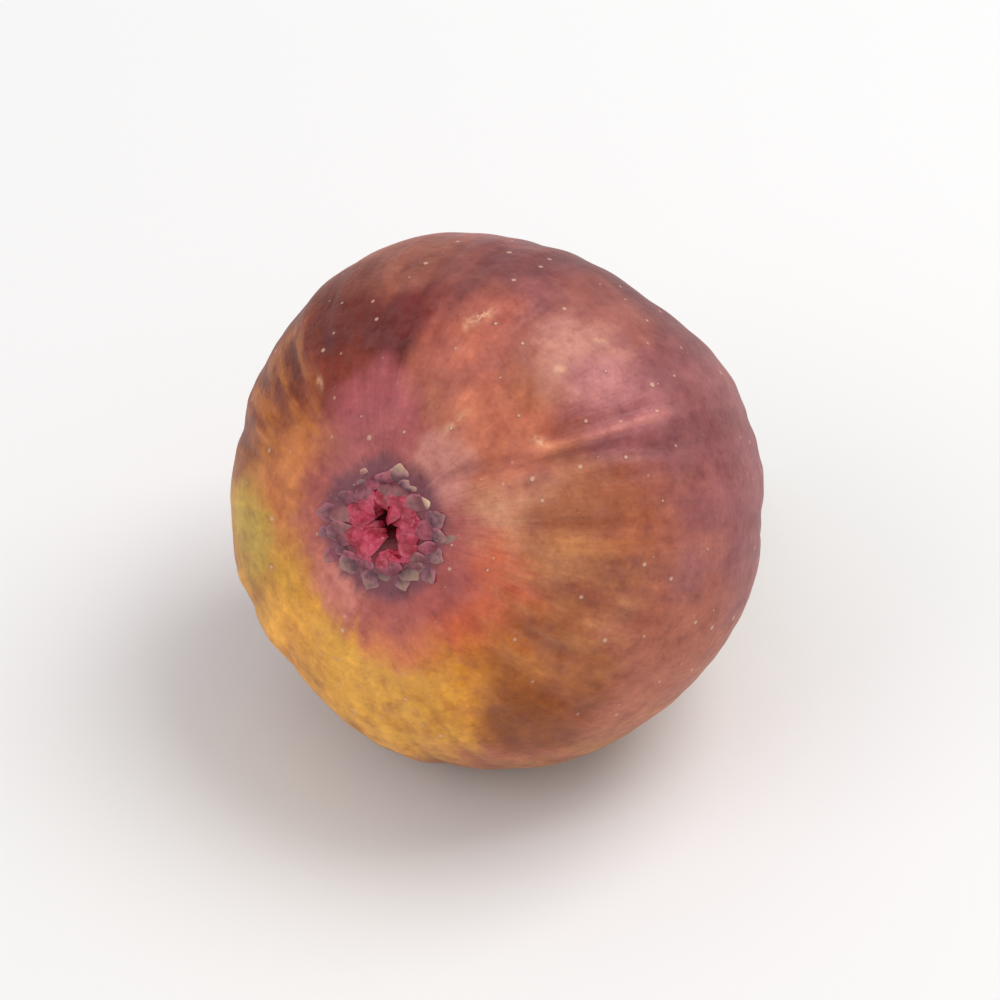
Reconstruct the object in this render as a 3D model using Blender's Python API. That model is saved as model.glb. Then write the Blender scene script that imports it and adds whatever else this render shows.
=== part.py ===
"""A whole fresh fig, as picked, lying on its side.

The fruit grew as one piece, so it is one closed solid: the body, the neck, the stub of stalk
and the shallow pit of the eye.  Its outline is turned about the fig's own long axis, swollen
and hollowed a little out of round, bent at the neck and laid down.  Its own weight presses
it flat where it lies on its belly, and the tip of the stalk touches the same surface.

Metres, +Z up.  The eye looks towards -Y and upwards, the stalk runs towards +Y and down.
The origin is the bottom centre of the bounding box.

While the fig is being shaped, it stands on its own axis: the eye at +Z, the side that will
be its back at +Y.  A longitude is counted from +Y towards +X, and a latitude from the girth
towards the eye.
"""

import math

import bmesh
import bpy
from mathutils import Matrix, Vector

MM = 0.001
FULL_TURN = 2 * math.pi

# Driving dimensions.
GIRTH_RADIUS = 28.4 * MM        # the widest section of the body
EYE_REACH = 22.8 * MM           # girth to the rim of the eye, along the axis
STALK_REACH = 45.0 * MM         # girth to the cut end of the stalk, along the axis
EYE_RADIUS = 3.6 * MM
EYE_DEPTH = 1.5 * MM
NECK_REACH = 33.0 * MM          # girth to the middle of the neck
NECK_RADIUS = 8.2 * MM
STALK_ROOT_REACH = 40.0 * MM
STALK_ROOT_RADIUS = 3.4 * MM
STALK_END_RADIUS = 3.6 * MM
STALK_END_BEVEL = 0.5 * MM

# How it lies.
EYE_ELEVATION = math.radians(32.0)
PRESSED_DEPTH = 1.1 * MM        # how much of the belly the surface presses flat
NECK_BEND_START = 22.0 * MM     # girth to where the neck begins to bend
NECK_BEND = Vector((1.8, 0.25, 0.0)) * MM    # how far the bend moves the tip of the stalk

# Out of round.  Each swell is (longitude, latitude, width) in degrees and a height.
SWELLS = (
    (10.0, -21.0, 20.0, -2.0 * MM),
    (-64.0, 17.0, 28.0, 0.9 * MM),
    (60.0, -31.0, 22.0, 0.7 * MM),
    (-150.0, 40.0, 30.0, 0.7 * MM),
    (25.0, -30.0, 14.0, 0.8 * MM),
)
# Each wave of lobes is the number round the body, the longitude of one crest, and a height.
LOBES = (
    (5, 20.0, 0.18 * MM),
    (8, 47.0, 0.14 * MM),
)

# Fineness of the mesh.
SEGMENTS = 68
EYE_STEPS = 4
CROWN_STEPS = 13
SHOULDER_STEPS = 12
NECK_STEPS = 5
STALK_STEPS = 2
WELD_DISTANCE = 0.001 * MM
SHARP_ANGLE = math.radians(40.0)

SKIN_COLOUR = (0.42, 0.12, 0.09, 1.0)
SKIN_ROUGHNESS = 0.45


def curve(start, start_handle, end_handle, end, steps):
    """Points along a cubic Bezier stretch of the outline, without its first point."""
    points = []
    for step in range(1, steps + 1):
        t = step / steps
        s = 1.0 - t
        points.append(s * s * s * start + 3 * s * s * t * start_handle
                      + 3 * s * t * t * end_handle + t * t * t * end)
    return points


def outline():
    """The fig's outline as (radius, reach) points, from the eye's centre to the stalk's."""
    pit_floor = Vector((0.0, EYE_REACH - EYE_DEPTH))
    eye_rim = Vector((EYE_RADIUS, EYE_REACH))
    girth = Vector((GIRTH_RADIUS, 0.0))
    neck = Vector((NECK_RADIUS, -NECK_REACH))
    root = Vector((STALK_ROOT_RADIUS, -STALK_ROOT_REACH))
    end_rim = Vector((STALK_END_RADIUS, STALK_END_BEVEL - STALK_REACH))
    end_edge = Vector((STALK_END_RADIUS - STALK_END_BEVEL, -STALK_REACH))
    end_centre = Vector((0.0, -STALK_REACH))

    points = [pit_floor]
    points += curve(pit_floor, Vector((0.36 * EYE_RADIUS, pit_floor.y)),
                    Vector((0.61 * EYE_RADIUS, eye_rim.y)), eye_rim, EYE_STEPS)
    points += curve(eye_rim, Vector((0.62 * GIRTH_RADIUS, eye_rim.y)),
                    Vector((GIRTH_RADIUS, 0.5 * GIRTH_RADIUS)), girth, CROWN_STEPS)
    points += curve(girth, Vector((GIRTH_RADIUS, -0.5 * GIRTH_RADIUS)),
                    Vector((1.52 * NECK_RADIUS, -0.73 * NECK_REACH)), neck, SHOULDER_STEPS)
    points += curve(neck, Vector((0.71 * NECK_RADIUS, -1.106 * NECK_REACH)),
                    Vector((1.12 * STALK_ROOT_RADIUS, -0.94 * STALK_ROOT_REACH)), root,
                    NECK_STEPS)
    points += curve(root, Vector((0.91 * STALK_ROOT_RADIUS, -1.04 * STALK_ROOT_REACH)),
                    Vector((0.93 * STALK_END_RADIUS, -0.97 * STALK_REACH)), end_rim,
                    STALK_STEPS)
    return points + [end_edge, end_centre]


def turned_body(bm):
    """Turn the outline about the fig's axis and close it at both poles."""
    rim = [bm.verts.new((radius, 0.0, reach)) for radius, reach in outline()]
    edges = [bm.edges.new(pair) for pair in zip(rim, rim[1:])]
    bmesh.ops.spin(bm, geom=rim + edges, cent=(0, 0, 0), axis=(0, 0, 1), angle=FULL_TURN,
                   steps=SEGMENTS, use_merge=True)
    bmesh.ops.remove_doubles(bm, verts=bm.verts, dist=WELD_DISTANCE)
    bmesh.ops.recalc_face_normals(bm, faces=bm.faces)


def direction(longitude, latitude):
    """The unit vector at a longitude and a latitude given in degrees."""
    lon = math.radians(longitude)
    lat = math.radians(latitude)
    return Vector((math.cos(lat) * math.sin(lon), math.cos(lat) * math.cos(lon),
                   math.sin(lat)))


def out_of_round(point):
    """How far a point of the turned body stands out from it, along its own direction."""
    outward = point.normalized()
    height = 0.0
    for longitude, latitude, width, swell in SWELLS:
        away = math.degrees(outward.angle(direction(longitude, latitude)))
        height += swell * math.exp(-0.5 * (away / width) ** 2)
    longitude = math.atan2(point.x, point.y)
    share_of_girth = math.hypot(point.x, point.y) / GIRTH_RADIUS
    for count, crest, lobe in LOBES:
        wave = math.cos(count * (longitude - math.radians(crest)))
        height += lobe * share_of_girth ** 2 * wave
    return height


def neck_shift(reach):
    """How far the bend of the neck moves a section at this reach along the axis."""
    share = (-reach - NECK_BEND_START) / (STALK_REACH - NECK_BEND_START)
    return NECK_BEND * max(0.0, share) ** 2


def shape_by_hand(bm):
    """Swell, hollow and bend the turned body."""
    for vert in bm.verts:
        point = vert.co.copy()
        vert.co += point.normalized() * out_of_round(point) + neck_shift(point.z)


def lay_down(bm):
    """Tip the fig over, press its underside flat, and bring its base centre to the origin."""
    tip_over = Matrix.Rotation(math.pi / 2 - EYE_ELEVATION, 4, "X")
    bmesh.ops.transform(bm, matrix=tip_over, verts=bm.verts)
    lowest = min(vert.co.z for vert in bm.verts)
    surface = Vector((0.0, 0.0, lowest + PRESSED_DEPTH))
    bmesh.ops.bisect_plane(bm, geom=bm.verts[:] + bm.edges[:] + bm.faces[:],
                           plane_co=surface, plane_no=(0, 0, 1), clear_inner=True,
                           dist=WELD_DISTANCE)
    open_edges = [edge for edge in bm.edges if edge.is_boundary]
    bmesh.ops.holes_fill(bm, edges=open_edges)
    bmesh.ops.recalc_face_normals(bm, faces=bm.faces)

    low_y = min(vert.co.y for vert in bm.verts)
    high_y = max(vert.co.y for vert in bm.verts)
    low_x = min(vert.co.x for vert in bm.verts)
    high_x = max(vert.co.x for vert in bm.verts)
    base_centre = Vector(((low_x + high_x) / 2, (low_y + high_y) / 2, surface.z))
    bmesh.ops.translate(bm, vec=-base_centre, verts=bm.verts)


def skin_material():
    """The fig's skin, in the reddish brown that most of it has."""
    material = bpy.data.materials.new("fig_skin")
    material.use_nodes = True
    shader = material.node_tree.nodes["Principled BSDF"]
    shader.inputs["Base Color"].default_value = SKIN_COLOUR
    shader.inputs["Roughness"].default_value = SKIN_ROUGHNESS
    shader.inputs["Metallic"].default_value = 0.0
    return material


def make_fig():
    """The whole fig as one object."""
    bm = bmesh.new()
    turned_body(bm)
    shape_by_hand(bm)
    lay_down(bm)
    mesh = bpy.data.meshes.new("fig")
    bm.to_mesh(mesh)
    bm.free()
    mesh.shade_smooth()
    mesh.set_sharp_from_angle(angle=SHARP_ANGLE)
    mesh.materials.append(skin_material())
    fig = bpy.data.objects.new("fig", mesh)
    bpy.context.scene.collection.objects.link(fig)
    return fig


def main():
    """Clear the scene and make the fig."""
    for old in list(bpy.data.objects):
        bpy.data.objects.remove(old, do_unlink=True)
    make_fig()


main()
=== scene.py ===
"""The looks of a whole fresh fig: its skin, the scales of its eye and the stub of its stalk.

The fig is shaped standing on its own axis, with the eye at +Z and its back at +Y, and is then
laid down in the row frame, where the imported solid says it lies.  A longitude is counted from
the back towards +X, and a latitude from the girth towards the eye, both in degrees.  Lengths
are in metres.  A ramp is a pair of values between which something rises smoothly, or falls
where the second is the lower.  A span is a pair of values that a random draw lies between.
"""

import logging
import math
from dataclasses import dataclass, field
from enum import Enum

import bpy
import numpy as np
from mathutils import Matrix, Vector, noise


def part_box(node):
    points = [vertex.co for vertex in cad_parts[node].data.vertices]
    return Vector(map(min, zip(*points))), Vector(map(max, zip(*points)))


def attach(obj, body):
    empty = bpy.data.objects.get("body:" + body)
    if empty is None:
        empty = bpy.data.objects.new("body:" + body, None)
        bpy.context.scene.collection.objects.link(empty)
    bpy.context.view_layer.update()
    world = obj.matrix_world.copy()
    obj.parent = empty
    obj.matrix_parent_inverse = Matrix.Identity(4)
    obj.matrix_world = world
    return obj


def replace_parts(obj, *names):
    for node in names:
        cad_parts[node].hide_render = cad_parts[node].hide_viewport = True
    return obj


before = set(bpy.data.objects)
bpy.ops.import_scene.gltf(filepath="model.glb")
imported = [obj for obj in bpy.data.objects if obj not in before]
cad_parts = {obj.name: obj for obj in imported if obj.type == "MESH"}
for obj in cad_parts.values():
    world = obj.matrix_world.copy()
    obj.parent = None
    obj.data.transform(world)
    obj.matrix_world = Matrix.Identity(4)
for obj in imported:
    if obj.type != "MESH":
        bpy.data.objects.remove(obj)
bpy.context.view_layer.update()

MM = 0.001
FULL_TURN = 2 * math.pi
BODY = "root"
CAD_NODE = "fig"
WELD_DISTANCE = 0.001 * MM
UP = Vector((0.0, 0.0, 1.0))
WHITE = (1.0, 1.0, 1.0, 1.0)

log = logging.getLogger("fig")

Colour = tuple[float, float, float, float]
Ramp = tuple[float, float]
Span = tuple[float, float]
Clouds = tuple[float, float, float]     # cells to a metre, finer layers, and their strength
Feed = bpy.types.NodeSocket | float | tuple[float, ...]


class Slot(Enum):
    """The record's material slots."""

    SKIN = "skin"
    EYE_SCALES = "eye_scales"
    STALK = "stalk"


def tint(red: int, green: int, blue: int) -> Colour:
    """The linear colour of a display colour.

    Args:
        red: how red it is, from 0 to 255.
        green: how green it is.
        blue: how blue it is.

    Returns:
        The colour, with full alpha.
    """
    shares = [part / 255 for part in (red, green, blue)]
    linear = [share / 12.92 if share <= 0.04045 else ((share + 0.055) / 1.055) ** 2.4
              for share in shares]
    return (linear[0], linear[1], linear[2], 1.0)


def direction(longitude: float, latitude: float) -> Vector:
    """The unit vector at a longitude and a latitude.

    Args:
        longitude: degrees from +Y towards +X.
        latitude: degrees from the girth towards +Z.

    Returns:
        The unit vector.
    """
    lon, lat = math.radians(longitude), math.radians(latitude)
    return Vector((math.cos(lat) * math.sin(lon), math.cos(lat) * math.cos(lon),
                   math.sin(lat)))


def smooth_step(value: np.ndarray | float, low: float, high: float) -> np.ndarray:
    """A smooth rise, or a fall where high is the lower.

    Args:
        value: what rises.
        low: the value at and before which the outcome is 0.
        high: the value at and beyond which it is 1.

    Returns:
        The outcome, from 0 to 1.
    """
    share = np.clip((np.asarray(value) - low) / (high - low), 0.0, 1.0)
    return share * share * (3.0 - 2.0 * share)


def bell(away: np.ndarray) -> np.ndarray:
    """A bell curve with its top, 1, at 0 and a standard deviation of 1."""
    return np.exp(-0.5 * away ** 2)


def noise_at(points: np.ndarray) -> np.ndarray:
    """Smooth noise from -1 to 1 at each row of points, in cells one unit wide."""
    return np.array([noise.noise(Vector(point)) for point in points])


# Work on meshes, as by hand.

def start_primitive() -> None:
    """Leave edit mode and let go of everything, so that only the next primitive is held."""
    if bpy.context.object is not None and bpy.context.object.mode != "OBJECT":
        bpy.ops.object.mode_set(mode="OBJECT")
    bpy.ops.object.select_all(action="DESELECT")


def take(piece: bpy.types.Object) -> None:
    """Make one object the only selected and the active one.

    Args:
        piece: the object.
    """
    bpy.ops.object.select_all(action="DESELECT")
    piece.select_set(True)
    bpy.context.view_layer.objects.active = piece


def rows_of(piece: bpy.types.Object, key: str = "co") -> np.ndarray:
    """What a mesh's vertices say of themselves, as rows of three.

    Args:
        piece: the object.
        key: co for their places, or normal for their normals.

    Returns:
        One row for each vertex.
    """
    rows = np.empty(len(piece.data.vertices) * 3)
    piece.data.vertices.foreach_get(key, rows)
    return rows.reshape(-1, 3)


def move_points(piece: bpy.types.Object, rows: np.ndarray) -> None:
    """Sculpt: put each vertex of a mesh where the rows say.

    Args:
        piece: the object.
        rows: one place for each vertex.
    """
    piece.data.vertices.foreach_set("co", np.ascontiguousarray(rows).ravel())
    piece.data.update()


def paint(piece: bpy.types.Object, name: str, values: np.ndarray) -> None:
    """Store a number, or a vector where values has rows of three, at each vertex.

    Args:
        piece: the object.
        name: the name to store them under.
        values: one number or row for each vertex.
    """
    kind, key = ("FLOAT", "value") if values.ndim == 1 else ("FLOAT_VECTOR", "vector")
    layer = piece.data.attributes.get(name)
    if layer is None:
        layer = piece.data.attributes.new(name, kind, "POINT")
    layer.data.foreach_set(key, np.ascontiguousarray(values, np.float32).ravel())


def painted(piece: bpy.types.Object, name: str) -> np.ndarray:
    """What is stored at each vertex of a mesh.

    Args:
        piece: the object.
        name: the name it is stored under.

    Returns:
        One number or row of three for each vertex.
    """
    layer = piece.data.attributes[name]
    vectors = layer.data_type == "FLOAT_VECTOR"
    values = np.empty(len(layer.data) * (3 if vectors else 1), np.float32)
    layer.data.foreach_get("vector" if vectors else "value", values)
    return values.reshape(-1, 3) if vectors else values.astype(float)


def apply_modifier(piece: bpy.types.Object, kind: str, **settings: float | bool) -> None:
    """Add a modifier and apply it.

    Args:
        piece: the object.
        kind: the modifier's type.
        **settings: the modifier's own settings.
    """
    take(piece)
    modifier = piece.modifiers.new(kind.lower(), kind)
    for name, value in settings.items():
        setattr(modifier, name, value)
    bpy.ops.object.modifier_apply(modifier=modifier.name)


def smoothed(piece: bpy.types.Object, levels: int) -> None:
    """Subdivide a mesh smoothly that many times."""
    apply_modifier(piece, "SUBSURF", levels=levels, render_levels=levels)


def copy_of(pattern: bpy.types.Object, seat: Matrix) -> bpy.types.Object:
    """Copy a pattern with its own mesh.

    Args:
        pattern: what repeats.
        seat: where its mesh goes.

    Returns:
        The copy.
    """
    copy = pattern.copy()
    copy.data = pattern.data.copy()
    bpy.context.scene.collection.objects.link(copy)
    copy.data.transform(seat)
    return copy


def joined(pieces: list[bpy.types.Object]) -> bpy.types.Object:
    """Join pieces into one object.

    Args:
        pieces: the objects, the first of which takes in the others.

    Returns:
        The one object.
    """
    start_primitive()
    for piece in pieces:
        piece.select_set(True)
    bpy.context.view_layer.objects.active = pieces[0]
    bpy.ops.object.join()
    return bpy.context.object


def finish_piece(piece: bpy.types.Object, name: str, finish: bpy.types.Material) -> bpy.types.Object:
    """Name a piece, dress it, and let it ride on the fig's body.

    Args:
        piece: the modelled object, in place in the row frame.
        name: the piece's name.
        finish: its material.

    Returns:
        The same object.
    """
    piece.name = name
    piece.data.name = name
    piece.data.materials.clear()
    piece.data.materials.append(finish)
    take(piece)
    bpy.ops.object.shade_smooth()
    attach(piece, BODY)
    log.info("%s: %d faces", name, len(piece.data.polygons))
    return piece


# The fig's form.

@dataclass(frozen=True)
class Swell:
    """A broad hill, or a hollow where the height is negative, on the fig's side."""

    longitude: float
    latitude: float
    width: float
    height: float


@dataclass(frozen=True)
class Lobes:
    """A wave round the fig: how many lobes, the longitude of one crest, and its height."""

    count: int
    crest: float
    height: float


@dataclass(frozen=True)
class Bumps:
    """Smooth bumps and dents: their size, their height, and the lot that they are drawn with."""

    size: float
    height: float
    lot: float = 0.0

    def at(self, points: np.ndarray) -> np.ndarray:
        """How high they stand at each row of points."""
        return self.height * noise_at(points / self.size + self.lot)


class SkinPoints:
    """The vertices of the turned skin, and where on the skin they lie."""

    def __init__(self, turned: np.ndarray, along: np.ndarray) -> None:
        """Work out where the points lie round the fig.

        Args:
            turned: rows on the fig's own axis.
            along: their distances along the skin from the rim of the eye.
        """
        self.turned = turned
        self.along = along
        self.longitude = np.arctan2(turned[:, 0], turned[:, 1])
        self.radius = np.hypot(turned[:, 0], turned[:, 1])
        self.around = np.stack([np.sin(self.longitude), np.cos(self.longitude)], 1)

    def aside(self, longitude: np.ndarray | float) -> np.ndarray:
        """How far round the fig each point lies from a longitude given in radians."""
        away = (self.longitude - longitude + math.pi) % FULL_TURN - math.pi
        return away * self.radius


@dataclass(frozen=True)
class Waves:
    """Uneven waves round the fig that run from the eye to the stalk.

    They have a count round the fig, a length, a height, and the lot that they are drawn with.
    """

    count: float
    length: float
    height: float
    lot: float = 0.0

    def at(self, points: SkinPoints) -> np.ndarray:
        """How high they stand at each point."""
        return self.height * noise_at(np.column_stack([
            points.around * self.count + self.lot, points.along / self.length]))


@dataclass(frozen=True)
class Fold:
    """A groove in the skin that runs from the eye towards the stalk, with a ridge beside it.

    It starts and ends at distances along the skin from the eye, and fades over a little way
    there.  The ridge stands on the side of the greater longitudes, at a number of the fold's
    widths from it.
    """

    start_longitude: float
    end_longitude: float
    start: float
    end: float
    width: float
    depth: float
    ridge: float = 0.5
    ridge_away: float = 2.2
    ridge_width: float = 1.2
    wander: float = 0.7 * MM
    wander_length: float = 4.3 * MM
    fade_in: Ramp = (-2 * MM, 3 * MM)
    fade_out: Ramp = (2 * MM, -5 * MM)

    def at(self, points: SkinPoints) -> np.ndarray:
        """How high the ridge and how deep the groove is.

        Args:
            points: the skin's points.

        Returns:
            A height for each point.
        """
        share = np.clip((points.along - self.start) / (self.end - self.start), 0.0, 1.0)
        turn = self.end_longitude - self.start_longitude
        line = np.radians(self.start_longitude + turn * share)
        wander = self.wander * np.sin(points.along / self.wander_length
                                      + self.start_longitude)
        across = (points.aside(line) + wander) / self.width
        taper = (smooth_step(points.along - self.start, *self.fade_in)
                 * smooth_step(points.along - self.end, *self.fade_out))
        ridge = self.ridge * bell((across - self.ridge_away) / self.ridge_width)
        return self.depth * taper * (ridge - bell(across))


@dataclass(frozen=True)
class Scar:
    """A small pale scratch in the skin, at a longitude and a distance from the eye.

    It leans from the line to the stalk by some degrees.
    """

    longitude: float
    along: float
    width: float
    length: float
    lean: float
    strength: float

    def at(self, points: SkinPoints) -> np.ndarray:
        """How much of the scar there is.

        Args:
            points: the skin's points.

        Returns:
            A share for each point.
        """
        aside = points.aside(math.radians(self.longitude))
        ahead = points.along - self.along
        lean = math.radians(self.lean)
        across = (aside * math.cos(lean) - ahead * math.sin(lean)) / self.width
        down = (aside * math.sin(lean) + ahead * math.cos(lean)) / self.length
        return self.strength * np.exp(-(across ** 2 + down ** 2))


def curve(start: Vector, start_handle: Vector, end_handle: Vector, end: Vector,
          steps: int) -> list[Vector]:
    """Points along a cubic Bezier stretch of an outline, without its first point.

    Args:
        start: where it starts.
        start_handle: the handle that it leaves by.
        end_handle: the handle that it arrives by.
        end: where it ends.
        steps: how many points.

    Returns:
        The points in order.
    """
    points = []
    for step in range(1, steps + 1):
        t = step / steps
        s = 1.0 - t
        points.append(s * s * s * start + 3 * s * s * t * start_handle
                      + 3 * s * t * t * end_handle + t * t * t * end)
    return points


@dataclass(frozen=True)
class FigForm:
    """The measures of the fig, and the arithmetic of its form on its own axis."""

    girth_radius: float = 28.4 * MM
    eye_reach: float = 22.8 * MM
    stalk_reach: float = 45.0 * MM
    eye_radius: float = 3.6 * MM
    eye_depth: float = 3.0 * MM
    neck_reach: float = 33.0 * MM
    neck_radius: float = 8.2 * MM
    stalk_root_reach: float = 40.0 * MM
    stalk_root_radius: float = 3.4 * MM
    stalk_end_radius: float = 3.6 * MM
    stalk_end_bevel: float = 0.5 * MM
    eye_elevation: float = 32.0
    pressed_depth: float = 1.1 * MM
    pressed_softness: float = 0.5 * MM
    bend_start: float = 22.0 * MM
    bend: Vector = Vector((1.8, 0.25, 0.0)) * MM
    swells: tuple[Swell, ...] = (
        Swell(10.0, -21.0, 20.0, -2.0 * MM),
        Swell(-64.0, 17.0, 28.0, 0.9 * MM),
        Swell(60.0, -31.0, 22.0, 0.7 * MM),
        Swell(-150.0, 40.0, 30.0, 0.7 * MM),
        Swell(25.0, -30.0, 14.0, 0.8 * MM),
    )
    lobes: tuple[Lobes, ...] = (Lobes(5, 20.0, 0.18 * MM), Lobes(8, 47.0, 0.14 * MM))

    def outline(self, steps: tuple[int, int, int, int, int]) -> list[Vector]:
        """The outline as (radius, reach) points, from the eye's centre to the stalk's.

        Args:
            steps: points in the eye, the crown, the shoulder, the neck and the stalk.

        Returns:
            The points in order.
        """
        pit_floor = Vector((0.0, self.eye_reach - self.eye_depth))
        rim = Vector((self.eye_radius, self.eye_reach))
        girth = Vector((self.girth_radius, 0.0))
        neck = Vector((self.neck_radius, -self.neck_reach))
        root = Vector((self.stalk_root_radius, -self.stalk_root_reach))
        end = Vector((self.stalk_end_radius, self.stalk_end_bevel - self.stalk_reach))
        eye, crown, shoulder, neck_steps, stalk = steps
        points = [pit_floor]
        points += curve(pit_floor, Vector((0.42 * rim.x, pit_floor.y)),
                        Vector((0.42 * rim.x, rim.y)), rim, eye)
        points += curve(rim, Vector((0.62 * girth.x, rim.y)),
                        Vector((girth.x, 0.5 * girth.x)), girth, crown)
        points += curve(girth, Vector((girth.x, -0.5 * girth.x)),
                        Vector((1.52 * neck.x, 0.73 * neck.y)), neck, shoulder)
        points += curve(neck, Vector((0.71 * neck.x, 1.106 * neck.y)),
                        Vector((1.12 * root.x, 0.94 * root.y)), root, neck_steps)
        points += curve(root, Vector((0.91 * root.x, 1.04 * root.y)),
                        Vector((0.93 * end.x, -0.97 * self.stalk_reach)), end, stalk)
        edge = end.x - self.stalk_end_bevel
        points += [Vector((radius, -self.stalk_reach)) for radius in (edge, end.x / 2, 0.0)]
        return points

    def broad(self, points: np.ndarray) -> np.ndarray:
        """Move points of the turned body out of round and bend them at the neck.

        Args:
            points: rows on the fig's own axis.

        Returns:
            The moved rows.
        """
        outward = points / np.maximum(np.linalg.norm(points, axis=1, keepdims=True), 1e-9)
        swollen = points + outward * self._out_of_round(points, outward)[:, None]
        return swollen + self.neck_shift(points[:, 2])

    def _out_of_round(self, points: np.ndarray, outward: np.ndarray) -> np.ndarray:
        """How far swells and lobes move each point outwards.

        Args:
            points: rows on the fig's own axis.
            outward: the same rows as unit vectors.

        Returns:
            A height for each row.
        """
        height = np.zeros(len(points))
        for swell in self.swells:
            toward = np.array(direction(swell.longitude, swell.latitude))
            away = np.degrees(np.arccos(np.clip(outward @ toward, -1.0, 1.0)))
            height += swell.height * bell(away / swell.width)
        longitude = np.arctan2(points[:, 0], points[:, 1])
        share = np.hypot(points[:, 0], points[:, 1]) / self.girth_radius
        for wave in self.lobes:
            crest = np.cos(wave.count * (longitude - math.radians(wave.crest)))
            height += wave.height * share ** 2 * crest
        return height

    def neck_shift(self, reach: np.ndarray) -> np.ndarray:
        """How far the bend of the neck moves the section at each reach.

        Args:
            reach: heights on the fig's own axis.

        Returns:
            A row for each height.
        """
        share = (-reach - self.bend_start) / (self.stalk_reach - self.bend_start)
        return np.outer(np.maximum(share, 0.0) ** 2, np.array(self.bend))


class Placement:
    """Where the fig lies: the way from its own axis to the row frame."""

    TRIAL_STEPS = (4, 24, 24, 8, 4)
    TRIAL_SEGMENTS = 180

    def __init__(self, form: FigForm, box: tuple[Vector, Vector]) -> None:
        """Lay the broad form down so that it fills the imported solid's box.

        Args:
            form: the fig's measures.
            box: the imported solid's lowest and highest corner.
        """
        self.form = form
        self.turn = Matrix.Rotation(math.radians(90.0 - form.eye_elevation), 3, "X")
        rings = [(point.x * math.sin(lon), point.x * math.cos(lon), point.y)
                 for point in form.outline(self.TRIAL_STEPS)
                 for lon in np.linspace(0, FULL_TURN, self.TRIAL_SEGMENTS)]
        rows = form.broad(np.array(rings)) @ np.array(self.turn).T
        low, high = rows.min(0), rows.max(0)
        box_low, box_high = box
        centre = (box_low + box_high) / 2
        self.surface = box_low.z
        self.shift = Vector((centre.x - (low[0] + high[0]) / 2,
                             centre.y - (low[1] + high[1]) / 2,
                             self.surface - low[2] - form.pressed_depth))

    def lay(self, points: np.ndarray) -> np.ndarray:
        """Lay rows down, pressed flat by the surface.

        Args:
            points: rows on the fig's own axis.

        Returns:
            Rows in the row frame.
        """
        rows = points @ np.array(self.turn).T + np.array(self.shift)
        soft = self.form.pressed_softness
        height = rows[:, 2] - self.surface
        eased = (height + soft) ** 2 / (4 * soft)
        rows[:, 2] = self.surface + np.where(
            height < -soft, 0.0, np.where(height < soft, eased, height))
        return rows


# Node trees.

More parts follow.
